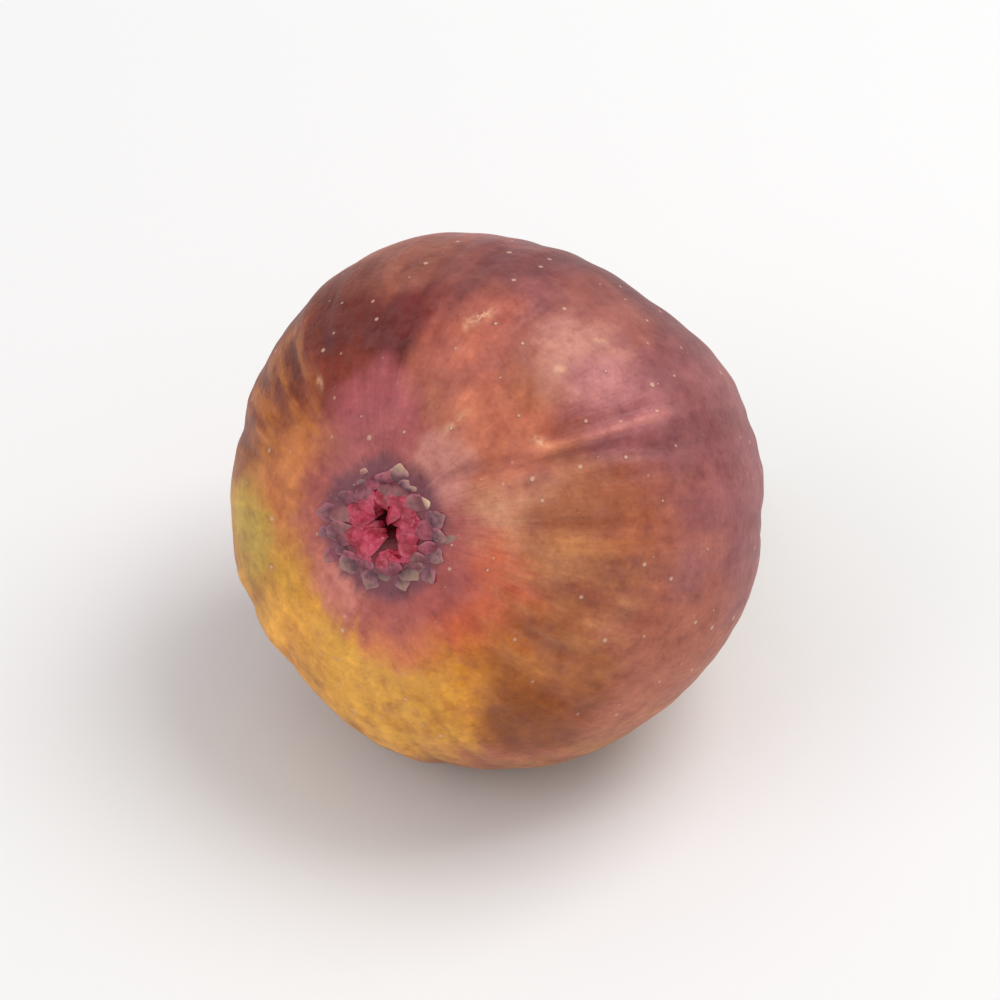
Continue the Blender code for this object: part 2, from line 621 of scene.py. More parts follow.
class NodeBench:
    """Adds and joins the nodes of one node tree."""

    def __init__(self, tree: bpy.types.NodeTree) -> None:
        """Work on this tree."""
        self.tree = tree

    def feed(self, socket: bpy.types.NodeSocket, feed: Feed) -> None:
        """Join an output to a socket, or set the socket's own value.

        Args:
            socket: what is fed.
            feed: an output, or a value.
        """
        if isinstance(feed, bpy.types.NodeSocket):
            self.tree.links.new(feed, socket)
        else:
            socket.default_value = feed

    def add(self, kind: str, feeds: dict[str | int, Feed] | None = None,
            **settings: str | bool | bpy.types.NodeTree) -> bpy.types.Node:
        """Add a node.

        Args:
            kind: the node's type.
            feeds: what goes into its inputs, by name or place.
            **settings: the node's own settings.

        Returns:
            The node.
        """
        node = self.tree.nodes.new(kind)
        for name, value in settings.items():
            setattr(node, name, value)
        for name, value in (feeds or {}).items():
            self.feed(node.inputs[name], value)
        return node

    def math(self, operation: str, *feeds: Feed) -> bpy.types.NodeSocket:
        """The outcome of a Math node."""
        return self.add("ShaderNodeMath", dict(enumerate(feeds)),
                        operation=operation).outputs[0]

    def times(self, *feeds: Feed) -> bpy.types.NodeSocket:
        """The product of two numbers."""
        return self.math("MULTIPLY", *feeds)

    def vector(self, operation: str, *feeds: Feed) -> bpy.types.NodeSocket:
        """The outcome of a Vector Math node.

        Args:
            operation: what it does.
            *feeds: what goes into its inputs, in order.

        Returns:
            A vector, or a value from a dot product.
        """
        node = self.add("ShaderNodeVectorMath", dict(enumerate(feeds)),
                        operation=operation)
        return node.outputs["Value" if operation == "DOT_PRODUCT" else "Vector"]

    def scaled(self, vector: Feed, scale: Feed) -> bpy.types.NodeSocket:
        """A vector times a number."""
        return self.add("ShaderNodeVectorMath", {0: vector, "Scale": scale},
                        operation="SCALE").outputs[0]

    def mix(self, share: Feed, under: Feed, over: Feed, blend: str = "MIX"
            ) -> bpy.types.NodeSocket:
        """Two colours mixed.

        Args:
            share: how much of the upper colour shows.
            under: the lower colour.
            over: the upper colour.
            blend: how they mix.

        Returns:
            The mixed colour.
        """
        node = self.add("ShaderNodeMix", {0: share, 6: under, 7: over},
                        data_type="RGBA", blend_type=blend)
        return node.outputs[2]

    def ease(self, value: Feed, low: Feed, high: Feed, top: Feed = 1.0
             ) -> bpy.types.NodeSocket:
        """A smooth rise of a value.

        Args:
            value: what rises.
            low: where the outcome is still 0.
            high: where it reaches the top.
            top: its greatest outcome.

        Returns:
            The outcome.
        """
        node = self.add("ShaderNodeMapRange", {0: value, 1: low, 2: high, 3: 0.0, 4: top},
                        interpolation_type="SMOOTHSTEP")
        return node.outputs[0]

    def noise(self, vector: Feed, scale: float, detail: float,
              roughness: float) -> bpy.types.NodeSocket:
        """A noise from 0 to 1.

        Args:
            vector: where it is read.
            scale: cells to a unit of the vector.
            detail: how many finer layers lie on it.
            roughness: how strong they are.

        Returns:
            The noise.
        """
        return self.add("ShaderNodeTexNoise", {
            "Vector": vector, "Scale": scale, "Detail": detail,
            "Roughness": roughness}).outputs[0]

    def attribute(self, name: str, output: str = "Fac") -> bpy.types.NodeSocket:
        """What is painted on the mesh under that name."""
        return self.add("ShaderNodeAttribute", attribute_name=name).outputs[output]

    def effect(self, tree: bpy.types.NodeTree, **feeds: Feed) -> bpy.types.Node:
        """Place one of the shared groups and feed its named inputs."""
        return self.add("ShaderNodeGroup", feeds, node_tree=tree)


class Effect(NodeBench):
    """A shader node group with named inputs and outputs, built once."""

    KINDS = {1: "NodeSocketFloat", 3: "NodeSocketVector", 4: "NodeSocketColor"}

    def __init__(self, name: str, inputs: dict[str, Feed], outputs: dict[str, int]) -> None:
        """Make the group's sockets.

        Args:
            name: the group's name.
            inputs: each input's name and usual value.
            outputs: each output's name and how many numbers it has.
        """
        super().__init__(bpy.data.node_groups.new(name, "ShaderNodeTree"))
        for label, value in inputs.items():
            size = len(value) if isinstance(value, tuple) else 1
            socket = self.tree.interface.new_socket(
                name=label, in_out="INPUT", socket_type=self.KINDS[size])
            socket.default_value = value
        for label, size in outputs.items():
            self.tree.interface.new_socket(
                name=label, in_out="OUTPUT", socket_type=self.KINDS[size])
        self.entry = self.add("NodeGroupInput").outputs
        self.exit = self.add("NodeGroupOutput").inputs


class Effects:
    """The groups that the fig's finishes share."""

    def __init__(self) -> None:
        """Build each group once."""
        self.patch = self._patch()
        self.streaks = self._streaks()
        self.specks = self._specks()
        self.mottle = self._mottle()
        self.bloom = self._bloom()
        self.grain = self._grain()

    @staticmethod
    def _patch() -> bpy.types.NodeTree:
        """A ragged patch around one direction from the fig's heart.

        Returns:
            The group.
        """
        group = Effect("patch", {"Direction": (0.0, 0.0, 1.0), "Toward": (0.0, 0.0, 1.0),
                                 "Inner": 0.9, "Outer": 0.7, "Rag": 0.5, "Ragged": 0.2},
                       {"Mask": 1})
        way = group.vector("NORMALIZE", group.entry["Direction"])
        near = group.vector("DOT_PRODUCT", way, group.entry["Toward"])
        rag = group.times(group.math("SUBTRACT", group.entry["Rag"], 0.5),
                          group.entry["Ragged"])
        torn = group.math("ADD", near, rag)
        group.feed(group.exit["Mask"],
                   group.ease(torn, group.entry["Outer"], group.entry["Inner"]))
        return group.tree

    @staticmethod
    def _streaks() -> bpy.types.NodeTree:
        """Streaks along the lines from the eye to the stalk.

        Returns:
            The group.
        """
        group = Effect("streaks", {"Map": (0.0, 0.0, 0.0), "Fineness": 12.0, "Cuts": 3.0,
                                   "Contrast": 0.3}, {"Streaks": 1})
        stretch = group.add("ShaderNodeCombineXYZ", {0: group.entry["Fineness"],
                                                     1: group.entry["Fineness"],
                                                     2: group.entry["Cuts"]}).outputs[0]
        stretched = group.vector("MULTIPLY", group.entry["Map"], stretch)
        raw = group.noise(stretched, 1.0, 3.0, 0.55)
        low = group.math("SUBTRACT", 0.5, group.entry["Contrast"])
        high = group.math("ADD", 0.5, group.entry["Contrast"])
        group.feed(group.exit["Streaks"], group.ease(raw, low, high))
        return group.tree

    @staticmethod
    def _specks() -> bpy.types.NodeTree:
        """Small raised specks, such as a skin's breathing pores.

        Returns:
            The group.
        """
        group = Effect("specks", {"Position": (0.0, 0.0, 0.0), "Spacing": 1.8 * MM,
                                  "Radius": 0.2 * MM, "Share": 0.6},
                       {"Mask": 1, "Height": 1})
        cells = group.scaled(group.entry["Position"],
                             group.math("DIVIDE", 1.0, group.entry["Spacing"]))
        cell = group.add("ShaderNodeTexVoronoi", {"Vector": cells, "Scale": 1.0})
        away = group.times(cell.outputs["Distance"], group.entry["Spacing"])
        lot = group.add("ShaderNodeSeparateColor", {0: cell.outputs["Color"]}).outputs
        radius = group.times(group.entry["Radius"], group.math("ADD", 0.6, lot[1]))
        spot = group.ease(group.math("DIVIDE", away, radius), 1.0, 0.5)
        kept = group.math("LESS_THAN", lot[0], group.entry["Share"])
        mask = group.times(spot, kept)
        group.feed(group.exit["Mask"], mask)
        group.feed(group.exit["Height"], group.times(mask, group.math("ADD", 0.5, lot[2])))
        return group.tree

    @staticmethod
    def _mottle() -> bpy.types.NodeTree:
        """Blotches where a colour is multiplied by a lighter or a darker factor.

        Returns:
            The group.
        """
        group = Effect("mottle", {"Colour": WHITE, "Map": (0.0, 0.0, 0.0), "Light": WHITE,
                                  "Dark": WHITE, "Cells": 1.0, "Amount": 0.3}, {"Colour": 4})
        cells = group.scaled(group.entry["Map"], group.entry["Cells"])
        clouds = group.noise(cells, 1.0, 4.0, 0.55)
        light = group.ease(clouds, 0.5, 0.74, group.entry["Amount"])
        dark = group.ease(clouds, 0.5, 0.26, group.entry["Amount"])
        lit = group.mix(light, group.entry["Colour"], group.entry["Light"], "MULTIPLY")
        group.feed(group.exit["Colour"],
                   group.mix(dark, lit, group.entry["Dark"], "MULTIPLY"))
        return group.tree

    @staticmethod
    def _bloom() -> bpy.types.NodeTree:
        """A thin waxy film that lies in patches.

        Returns:
            The group.
        """
        group = Effect("bloom", {"Colour": WHITE, "Position": (0.0, 0.0, 0.0), "Wax": WHITE,
                                 "Amount": 0.2}, {"Colour": 4, "Film": 1})
        clouds = group.noise(group.entry["Position"], 150.0, 4.0, 0.6)
        wiped = group.noise(group.entry["Position"], 900.0, 2.0, 0.6)
        film = group.times(group.ease(clouds, 0.35, 0.7), group.ease(wiped, 0.2, 0.6))
        share = group.times(film, group.entry["Amount"])
        group.feed(group.exit["Colour"],
                   group.mix(share, group.entry["Colour"], group.entry["Wax"]))
        group.feed(group.exit["Film"], film)
        return group.tree

    @staticmethod
    def _grain() -> bpy.types.NodeTree:
        """The fine relief of a soft skin: small cells over slow unevenness.

        Returns:
            The group.
        """
        group = Effect("grain", {"Position": (0.0, 0.0, 0.0), "Cell": 0.5 * MM,
                                 "Unevenness": 0.5}, {"Height": 1})
        fine = group.scaled(group.entry["Position"],
                            group.math("DIVIDE", 1.0, group.entry["Cell"]))
        cells = group.add("ShaderNodeTexVoronoi", {"Vector": fine, "Scale": 1.0},
                          feature="SMOOTH_F1")
        slow = group.times(group.noise(fine, 0.25, 3.0, 0.6), group.entry["Unevenness"])
        group.feed(group.exit["Height"], group.math(
            "SUBTRACT", slow, group.times(cells.outputs["Distance"], 0.35)))
        return group.tree


class MaterialBench(NodeBench):
    """The node tree of a new material, with its shader and its Object coordinates."""

    def __init__(self, name: str, effects: Effects) -> None:
        """Start a material.

        Args:
            name: the material's name.
            effects: the shared groups.
        """
        self.material = bpy.data.materials.new(name)
        self.material.use_nodes = True
        super().__init__(self.material.node_tree)
        self.effects = effects
        self.shader = self.tree.nodes["Principled BSDF"]
        self.position = self.add("ShaderNodeTexCoord").outputs["Object"]

    def grain(self, cell: float, unevenness: float) -> bpy.types.NodeSocket:
        """The height of the fine relief."""
        return self.effect(self.effects.grain, Position=self.position, Cell=cell,
                           Unevenness=unevenness).outputs[0]

    def dress(self, colour: Feed, roughness: Feed, height: Feed, relief: float
              ) -> bpy.types.Material:
        """Feed the shader.

        Args:
            colour: the base colour.
            roughness: how rough it is.
            height: the relief's height, about 0 to 1.
            relief: how high a height of 1 stands.

        Returns:
            The finished material.
        """
        bump = self.add("ShaderNodeBump", {"Height": height, "Strength": 1.0,
                                           "Distance": relief})
        self.feed(self.shader.inputs["Base Color"], colour)
        self.feed(self.shader.inputs["Roughness"], roughness)
        self.feed(self.shader.inputs["Normal"], bump.outputs[0])
        return self.material


# Finishes.

@dataclass(frozen=True)
class Patch:
    """A patch of colour on the skin, around one direction from the fig's heart.

    It is full within the inner angle and gone beyond the outer one, both in degrees.  A
    ragged patch's rim is torn.  A streaky patch shows only along the fine streaks.
    """

    longitude: float
    latitude: float
    inner: float
    outer: float
    colour: Colour
    strength: float = 1.0
    ragged: float = 0.4
    streaky: bool = False
    tear: float = 4.0

    def mask(self, bench: MaterialBench, own: Feed, rag: Feed) -> bpy.types.NodeSocket:
        """Where the patch shows.

        Args:
            bench: the material's bench.
            own: positions on the fig's own axis.
            rag: the noise that tears the patch's rim.

        Returns:
            The patch's mask.
        """
        inner, outer = (math.cos(math.radians(angle)) for angle in (self.inner, self.outer))
        return bench.effect(
            bench.effects.patch, Direction=own, Inner=inner, Outer=outer,
            Toward=tuple(direction(self.longitude, self.latitude)), Rag=rag,
            Ragged=self.ragged * self.tear * (inner - outer)).outputs[0]


@dataclass(frozen=True)
class Layer:
    """A colour that shows over another where a value lies on a ramp, up to its strength."""

    colour: Colour
    low: float
    high: float
    strength: float = 1.0
    blend: str = "MIX"

    def over(self, bench: NodeBench, under: Feed, value: Feed) -> bpy.types.NodeSocket:
        """Lay it over a colour.

        Args:
            bench: the material's bench.
            under: the colour beneath.
            value: what is read on the ramp.

        Returns:
            The mixed colour.
        """
        share = bench.ease(value, self.low, self.high, self.strength)
        return bench.mix(share, under, self.colour, self.blend)


@dataclass(frozen=True)
class Streaks:
    """Streaks in the skin: how fine they are, how often they end, and their contrast."""

    fineness: float
    cuts: float
    contrast: float

    def show(self, bench: MaterialBench, skin_map: Feed) -> bpy.types.NodeSocket:
        """Where the streaks show, from 0 to 1."""
        return bench.effect(bench.effects.streaks, Map=skin_map, Fineness=self.fineness,
                            Cuts=self.cuts, Contrast=self.contrast).outputs[0]


@dataclass(frozen=True)
class SkinFinish:
    """The fig's skin: patches of colour under streaks, blotches, scars, pores and a waxy bloom.

    The patches lie on the ground colour, the lowest first; one is partly a painted highlight.
    A painted highlight lies on the crests of the ribs and ridges, most along the fine streaks,
    and painted shade in the furrows and grooves.  Each size of blotches is its cells to a metre
    and how strong it is.  The relief is how high the finest unevenness stands.
    """

    ground: Colour = tint(178, 100, 76)
    patches: tuple[Patch, ...] = (
        Patch(25, -22, 44, 76, tint(146, 80, 82)),
        Patch(6, -6, 10, 32, tint(110, 50, 48), 0.85),
        Patch(180, -30, 20, 75, tint(178, 128, 58), 0.85),
        Patch(0, -90, 10, 58, tint(148, 124, 54), 0.9, 0.5),
        Patch(-160, 44, 14, 38, tint(238, 164, 58)),
        Patch(-115, 44, 10, 30, tint(206, 146, 46)),
        Patch(-100, 60, 6, 20, tint(218, 130, 72), 0.9),
        Patch(137, 46, 7, 22, tint(220, 138, 22)),
        Patch(170, 40, 10, 30, tint(228, 164, 64), 0.9),
        Patch(150, 66, 5, 18, tint(224, 116, 82), 0.8),
        Patch(68, 55, 8, 24, tint(212, 146, 112), 0.9),
        Patch(103, 60, 6, 20, tint(208, 94, 60), 0.9),
        Patch(70, 38, 6, 22, tint(162, 86, 48), 0.8),
        Patch(112, 38, 6, 20, tint(176, 100, 42), 0.8),
        Patch(95, 40, 8, 22, tint(206, 140, 84), 0.4, streaky=True),
        Patch(-170, -35, 40, 75, tint(134, 82, 66), 0.6, streaky=True),
        Patch(128, 28, 5, 18, tint(138, 66, 14), 0.85),
        Patch(-84, 34, 6, 24, tint(146, 64, 14)),
        Patch(-60, 33, 8, 24, tint(122, 44, 14)),
        Patch(-72, 44, 10, 22, tint(208, 124, 44), 0.6, streaky=True),
        Patch(-40, 46, 8, 20, tint(130, 48, 30)),
        Patch(-25, 42, 5, 12, tint(100, 28, 24)),
        Patch(-17, 38, 3, 10, tint(124, 36, 32), 0.8),
        Patch(-15, 22, 6, 19, tint(118, 54, 54), 0.75),
        Patch(15, 13, 4, 15, tint(178, 102, 88), 0.55),
        Patch(-50, 38, 4, 12, tint(112, 36, 24), 0.8),
        Patch(-34, 20, 5, 17, tint(146, 80, 62), 0.8),
        Patch(-120, 45, 4, 14, tint(190, 158, 62), 0.8),
        Patch(-30, 65, 6, 17, tint(174, 84, 88)),
        Patch(2, 43, 5, 18, tint(178, 94, 78), 0.9),
        Patch(32, 54, 6, 18, tint(200, 112, 84), 0.9),
        Patch(22, 39, 3, 10, tint(164, 92, 58), 0.6),
        # Partly the waxy bloom, partly a painted highlight: the pale pink gleam of light on the
        # crown.
        Patch(25, 29, 3, 15, tint(204, 136, 120), 0.8),
        Patch(38, 28, 3, 14, tint(184, 110, 112), 0.8),
        Patch(160, 88, 20, 31, tint(176, 90, 88), 0.9),
        Patch(30, 70, 3, 12, tint(216, 148, 134), 0.7),
        Patch(-160, 71, 3, 12, tint(226, 136, 120), 0.8),
        Patch(160, 88, 15, 20, tint(128, 72, 82)),
        Patch(168, 89, 8, 13, tint(126, 28, 46)),
        Patch(168, 89, 5, 9, tint(92, 2, 14)),
    )
    broad: Streaks = Streaks(7.0, 1.6, 0.25)
    fine: Streaks = Streaks(26.0, 5.0, 0.22)
    flames: Streaks = Streaks(11.0, 4.5, 0.12)
    clouds: Clouds = (190.0, 5.0, 0.62)
    rag_streaks: float = 0.25
    # The painted highlight on the crests of the ribs and ridges, and the painted shade in their
    # furrows.
    crest: Ramp = (0.1, 1.0)
    crest_highlight_amount: float = 0.2
    crest_streaks: float = 0.5
    crest_highlight: Colour = (1.42, 1.55, 1.30, 1.0)
    furrow_shade: Layer = Layer((0.66, 0.52, 0.52, 1.0), -0.05, -1.0, 0.6, "MULTIPLY")
    blotches: tuple[tuple[float, float], ...] = ((250.0, 0.6), (700.0, 0.42), (2200.0, 0.22))
    light_blotch: Colour = (1.38, 1.50, 1.42, 1.0)
    dark_blotch: Colour = (0.58, 0.40, 0.44, 1.0)
    scar: Colour = tint(242, 186, 146)
    scar_cracks: Clouds = (1500.0, 3.0, 0.6)
    scar_gaps: Ramp = (0.3, 0.6)
    pore: Colour = tint(236, 190, 164)
    pore_spacing: float = 2.0 * MM
    pore_radius: float = 0.26 * MM
    pore_share: float = 0.6
    pore_strength: float = 0.58
    pore_relief: float = 0.8
    bare_of_pores: Patch = Patch(168, 88, 15, 18, WHITE, ragged=0.0)
    wax: Colour = tint(204, 166, 168)
    wax_amount: float = 0.09
    wax_roughness: float = 0.14
    roughness: float = 0.44
    specular: float = 0.36
    refraction: float = 1.42
    cell: float = 0.55 * MM
    unevenness: float = 0.8
    streak_relief: float = 0.35
    relief: float = 0.14 * MM

    def material(self, effects: Effects, placement: Placement) -> bpy.types.Material:
        """The skin's material.

        Args:
            effects: the shared groups.
            placement: where the fig lies, so that patches follow its own axis.

        Returns:
            The material.
        """
        bench = MaterialBench("fig_skin", effects)
        own = own_position(bench, placement)
        skin_map = bench.attribute("skin_map", "Vector")
        clouds = bench.times(bench.noise(own, *self.clouds), 1.0 - self.rag_streaks)
        rag = bench.math("MULTIPLY_ADD", self.broad.show(bench, skin_map),
                         self.rag_streaks, clouds)
        fine = self.fine.show(bench, skin_map)
        colour = self._patched(bench, own, rag, self.flames.show(bench, skin_map))
        colour = self._streaked(bench, colour, fine, own)
        gaps = bench.ease(bench.noise(bench.position, *self.scar_cracks), *self.scar_gaps)
        colour = bench.mix(bench.times(bench.attribute("scar"), gaps), colour, self.scar)
        pores = bench.effect(effects.specks, Position=bench.position, Share=self.pore_share,
                             Spacing=self.pore_spacing, Radius=self.pore_radius).outputs
        bare = self.bare_of_pores.mask(bench, own, rag)
        paleness = bench.math("MULTIPLY_ADD", bare, -self.pore_strength, self.pore_strength)
        colour = bench.mix(bench.times(pores["Mask"], paleness), colour, self.pore)
        bloom = bench.effect(effects.bloom, Colour=colour, Position=bench.position,
                             Wax=self.wax, Amount=self.wax_amount).outputs
        roughness = bench.math("MULTIPLY_ADD", bloom["Film"], self.wax_roughness,
                               self.roughness)
        grain = bench.grain(self.cell, self.unevenness)
        height = bench.math("ADD",
                            bench.math("MULTIPLY_ADD", fine, self.streak_relief, grain),
                            bench.times(pores["Height"], self.pore_relief))
        bench.shader.inputs["IOR"].default_value = self.refraction
        bench.shader.inputs["Specular IOR Level"].default_value = self.specular
        return bench.dress(bloom["Colour"], roughness, height, self.relief)

    def _patched(self, bench: MaterialBench, own: Feed, rag: Feed, flames: Feed) -> Feed:
        """The ground colour with the patches laid over it one after another.

        Args:
            bench: the material's bench.
            own: positions on the fig's own axis.
            rag: the noise that tears the patches' rims.
            flames: the streaks along which streaky patches show.

        Returns:
            The patched colour.
        """
        colour = self.ground
        for patch in self.patches:
            share = bench.times(patch.mask(bench, own, rag), patch.strength)
            if patch.streaky:
                share = bench.times(share, flames)
            colour = bench.mix(share, colour, patch.colour)
        return colour

    def _streaked(self, bench: MaterialBench, colour: Feed, fine: Feed, own: Feed) -> Feed:
        """Lay a painted highlight on crests, painted shade in furrows and blotches of three sizes
        over a colour.

        Args:
            bench: the material's bench.
            colour: what lies beneath.
            fine: the fine streaks, along which the painted highlight on the crests is stronger.
            own: positions on the fig's own axis.

        Returns:
            The colour with all of it.
        """
        # Painted light and shade read from the heights of the ribs and folds: crests and ridges
        # lighter, furrows and grooves darker.
        relief_shading = bench.attribute("relief_shading")
        light = bench.times(bench.ease(relief_shading, *self.crest), bench.math(
            "MULTIPLY_ADD", fine, self.crest_streaks, self.crest_highlight_amount))
        # The painted highlight on the crests, then the painted shade in the furrows.
        colour = bench.mix(light, colour, self.crest_highlight, "MULTIPLY")
        colour = self.furrow_shade.over(bench, colour, relief_shading)
        for cells, amount in self.blotches:
            colour = bench.effect(bench.effects.mottle, Colour=colour, Map=own,
                                  Light=self.light_blotch, Dark=self.dark_blotch,
                                  Cells=cells, Amount=amount).outputs[0]
        return colour


def own_position(bench: MaterialBench, placement: Placement) -> bpy.types.NodeSocket:
    """Positions turned and centred to the fig's own axis.

    Args:
        bench: the material's bench.
        placement: where the fig lies.

    Returns:
        The positions.
    """
    back = placement.turn.inverted()
    node = bench.add("ShaderNodeMapping", {
        "Vector": bench.position, "Location": tuple(-(back @ placement.shift)),
        "Rotation": tuple(back.to_euler())}, vector_type="POINT")
    return node.outputs[0]


@dataclass(frozen=True)
class ScaleFinish:
    """The small scales of the eye: moist and crimson within, dull and pale-tipped without.

    The inner scales have flesh and painted glints over a crimson heart.  The outer ones have shade,
    a withered or a ruddy look by their lot, and painted shade at the root, where each lies under
    its neighbours, over a dull ground.
    """

    heart: Colour = tint(160, 14, 44)
    flesh: Layer = Layer(tint(204, 64, 94), 0.4, 0.6)
    # Painted glints: pale pink flecks that stand for light gleaming on the moist inner scales.
    glint_flecks: Layer = Layer(tint(216, 128, 146), 0.56, 0.74, 0.8)
    dull: Colour = tint(146, 92, 104)
    shade: Layer = Layer(tint(88, 48, 60), 0.58, 0.36, 0.85)
    withered: Layer = Layer(tint(138, 112, 98), 0.5, 0.85, 0.6)
    ruddy: Layer = Layer(tint(204, 64, 94), 0.4, 0.05, 0.3)
    # Painted shade at each outer scale's root, where it lies under its neighbours.
    root: Layer = Layer(tint(88, 48, 60), 0.55, 0.1, 0.75)
    rim: Layer = Layer(tint(216, 128, 146), 0.5, 1.0, 0.35)
    dry_tip: Colour = tint(240, 204, 160)
    small_clouds: Clouds = (1800.0, 4.0, 0.6)
    broad_clouds: Clouds = (750.0, 3.0, 0.6)
    roughness: float = 0.33
    dull_roughness: float = 0.25
    cell: float = 0.28 * MM
    unevenness: float = 1.0
    relief: float = 0.06 * MM

    def material(self, effects: Effects) -> bpy.types.Material:
        """The scales' material.

        Args:
            effects: the shared groups.

        Returns:
            The material.
        """
        bench = MaterialBench("eye_scales", effects)
        across, along, lot = bench.add("ShaderNodeSeparateXYZ", {
            0: bench.attribute("scale_map", "Vector")}).outputs
        outer = bench.attribute("outer")
        small = bench.noise(bench.position, *self.small_clouds)
        broad = bench.noise(bench.position, *self.broad_clouds)
        moist = self.flesh.over(bench, self.heart, broad)
        # Painted glints on the moist scales.
        moist = self.glint_flecks.over(bench, moist, small)
        dull = self.shade.over(bench, self.dull, small)
        dull = self.withered.over(bench, dull, lot)
        dull = self.ruddy.over(bench, dull, lot)
        # Painted shade at the root of each scale.
        dull = self.root.over(bench, dull, along)
        colour = bench.mix(outer, moist, dull)
        colour = self.rim.over(bench, colour, bench.math("ABSOLUTE", across))
        colour = bench.mix(bench.attribute("dry"), colour, self.dry_tip)
        roughness = bench.math("MULTIPLY_ADD", outer, self.dull_roughness, self.roughness)
        return bench.dress(colour, roughness, bench.grain(self.cell, self.unevenness),
                           self.relief)


@dataclass(frozen=True)
class StalkFinish:
    """The stalk's bark-like bracts and its pale, dried cut end."""

    bark: Colour = tint(126, 112, 62)
    rust: Layer = Layer(tint(120, 74, 50), 0.4, 0.65)
    pith: Colour = tint(206, 188, 142)
    ring: Layer = Layer(tint(116, 88, 52), 0.45, 0.7, 0.6)
    clouds: Clouds = (900.0, 4.0, 0.65)
    roughness: float = 0.72
    cell: float = 0.3 * MM
    unevenness: float = 1.0
    relief: float = 0.12 * MM

    def material(self, effects: Effects) -> bpy.types.Material:
        """The stalk pieces' material.

        Args:
            effects: the shared groups.

        Returns:
            The material.
        """
        bench = MaterialBench("stalk", effects)
        clouds = bench.noise(bench.position, *self.clouds)
        colour = bench.mix(bench.attribute("pith"), self.rust.over(bench, self.bark, clouds),
                           self.ring.over(bench, self.pith, clouds))
        return bench.dress(colour, self.roughness, bench.grain(self.cell, self.unevenness),
                           self.relief)


# The fig's pieces.

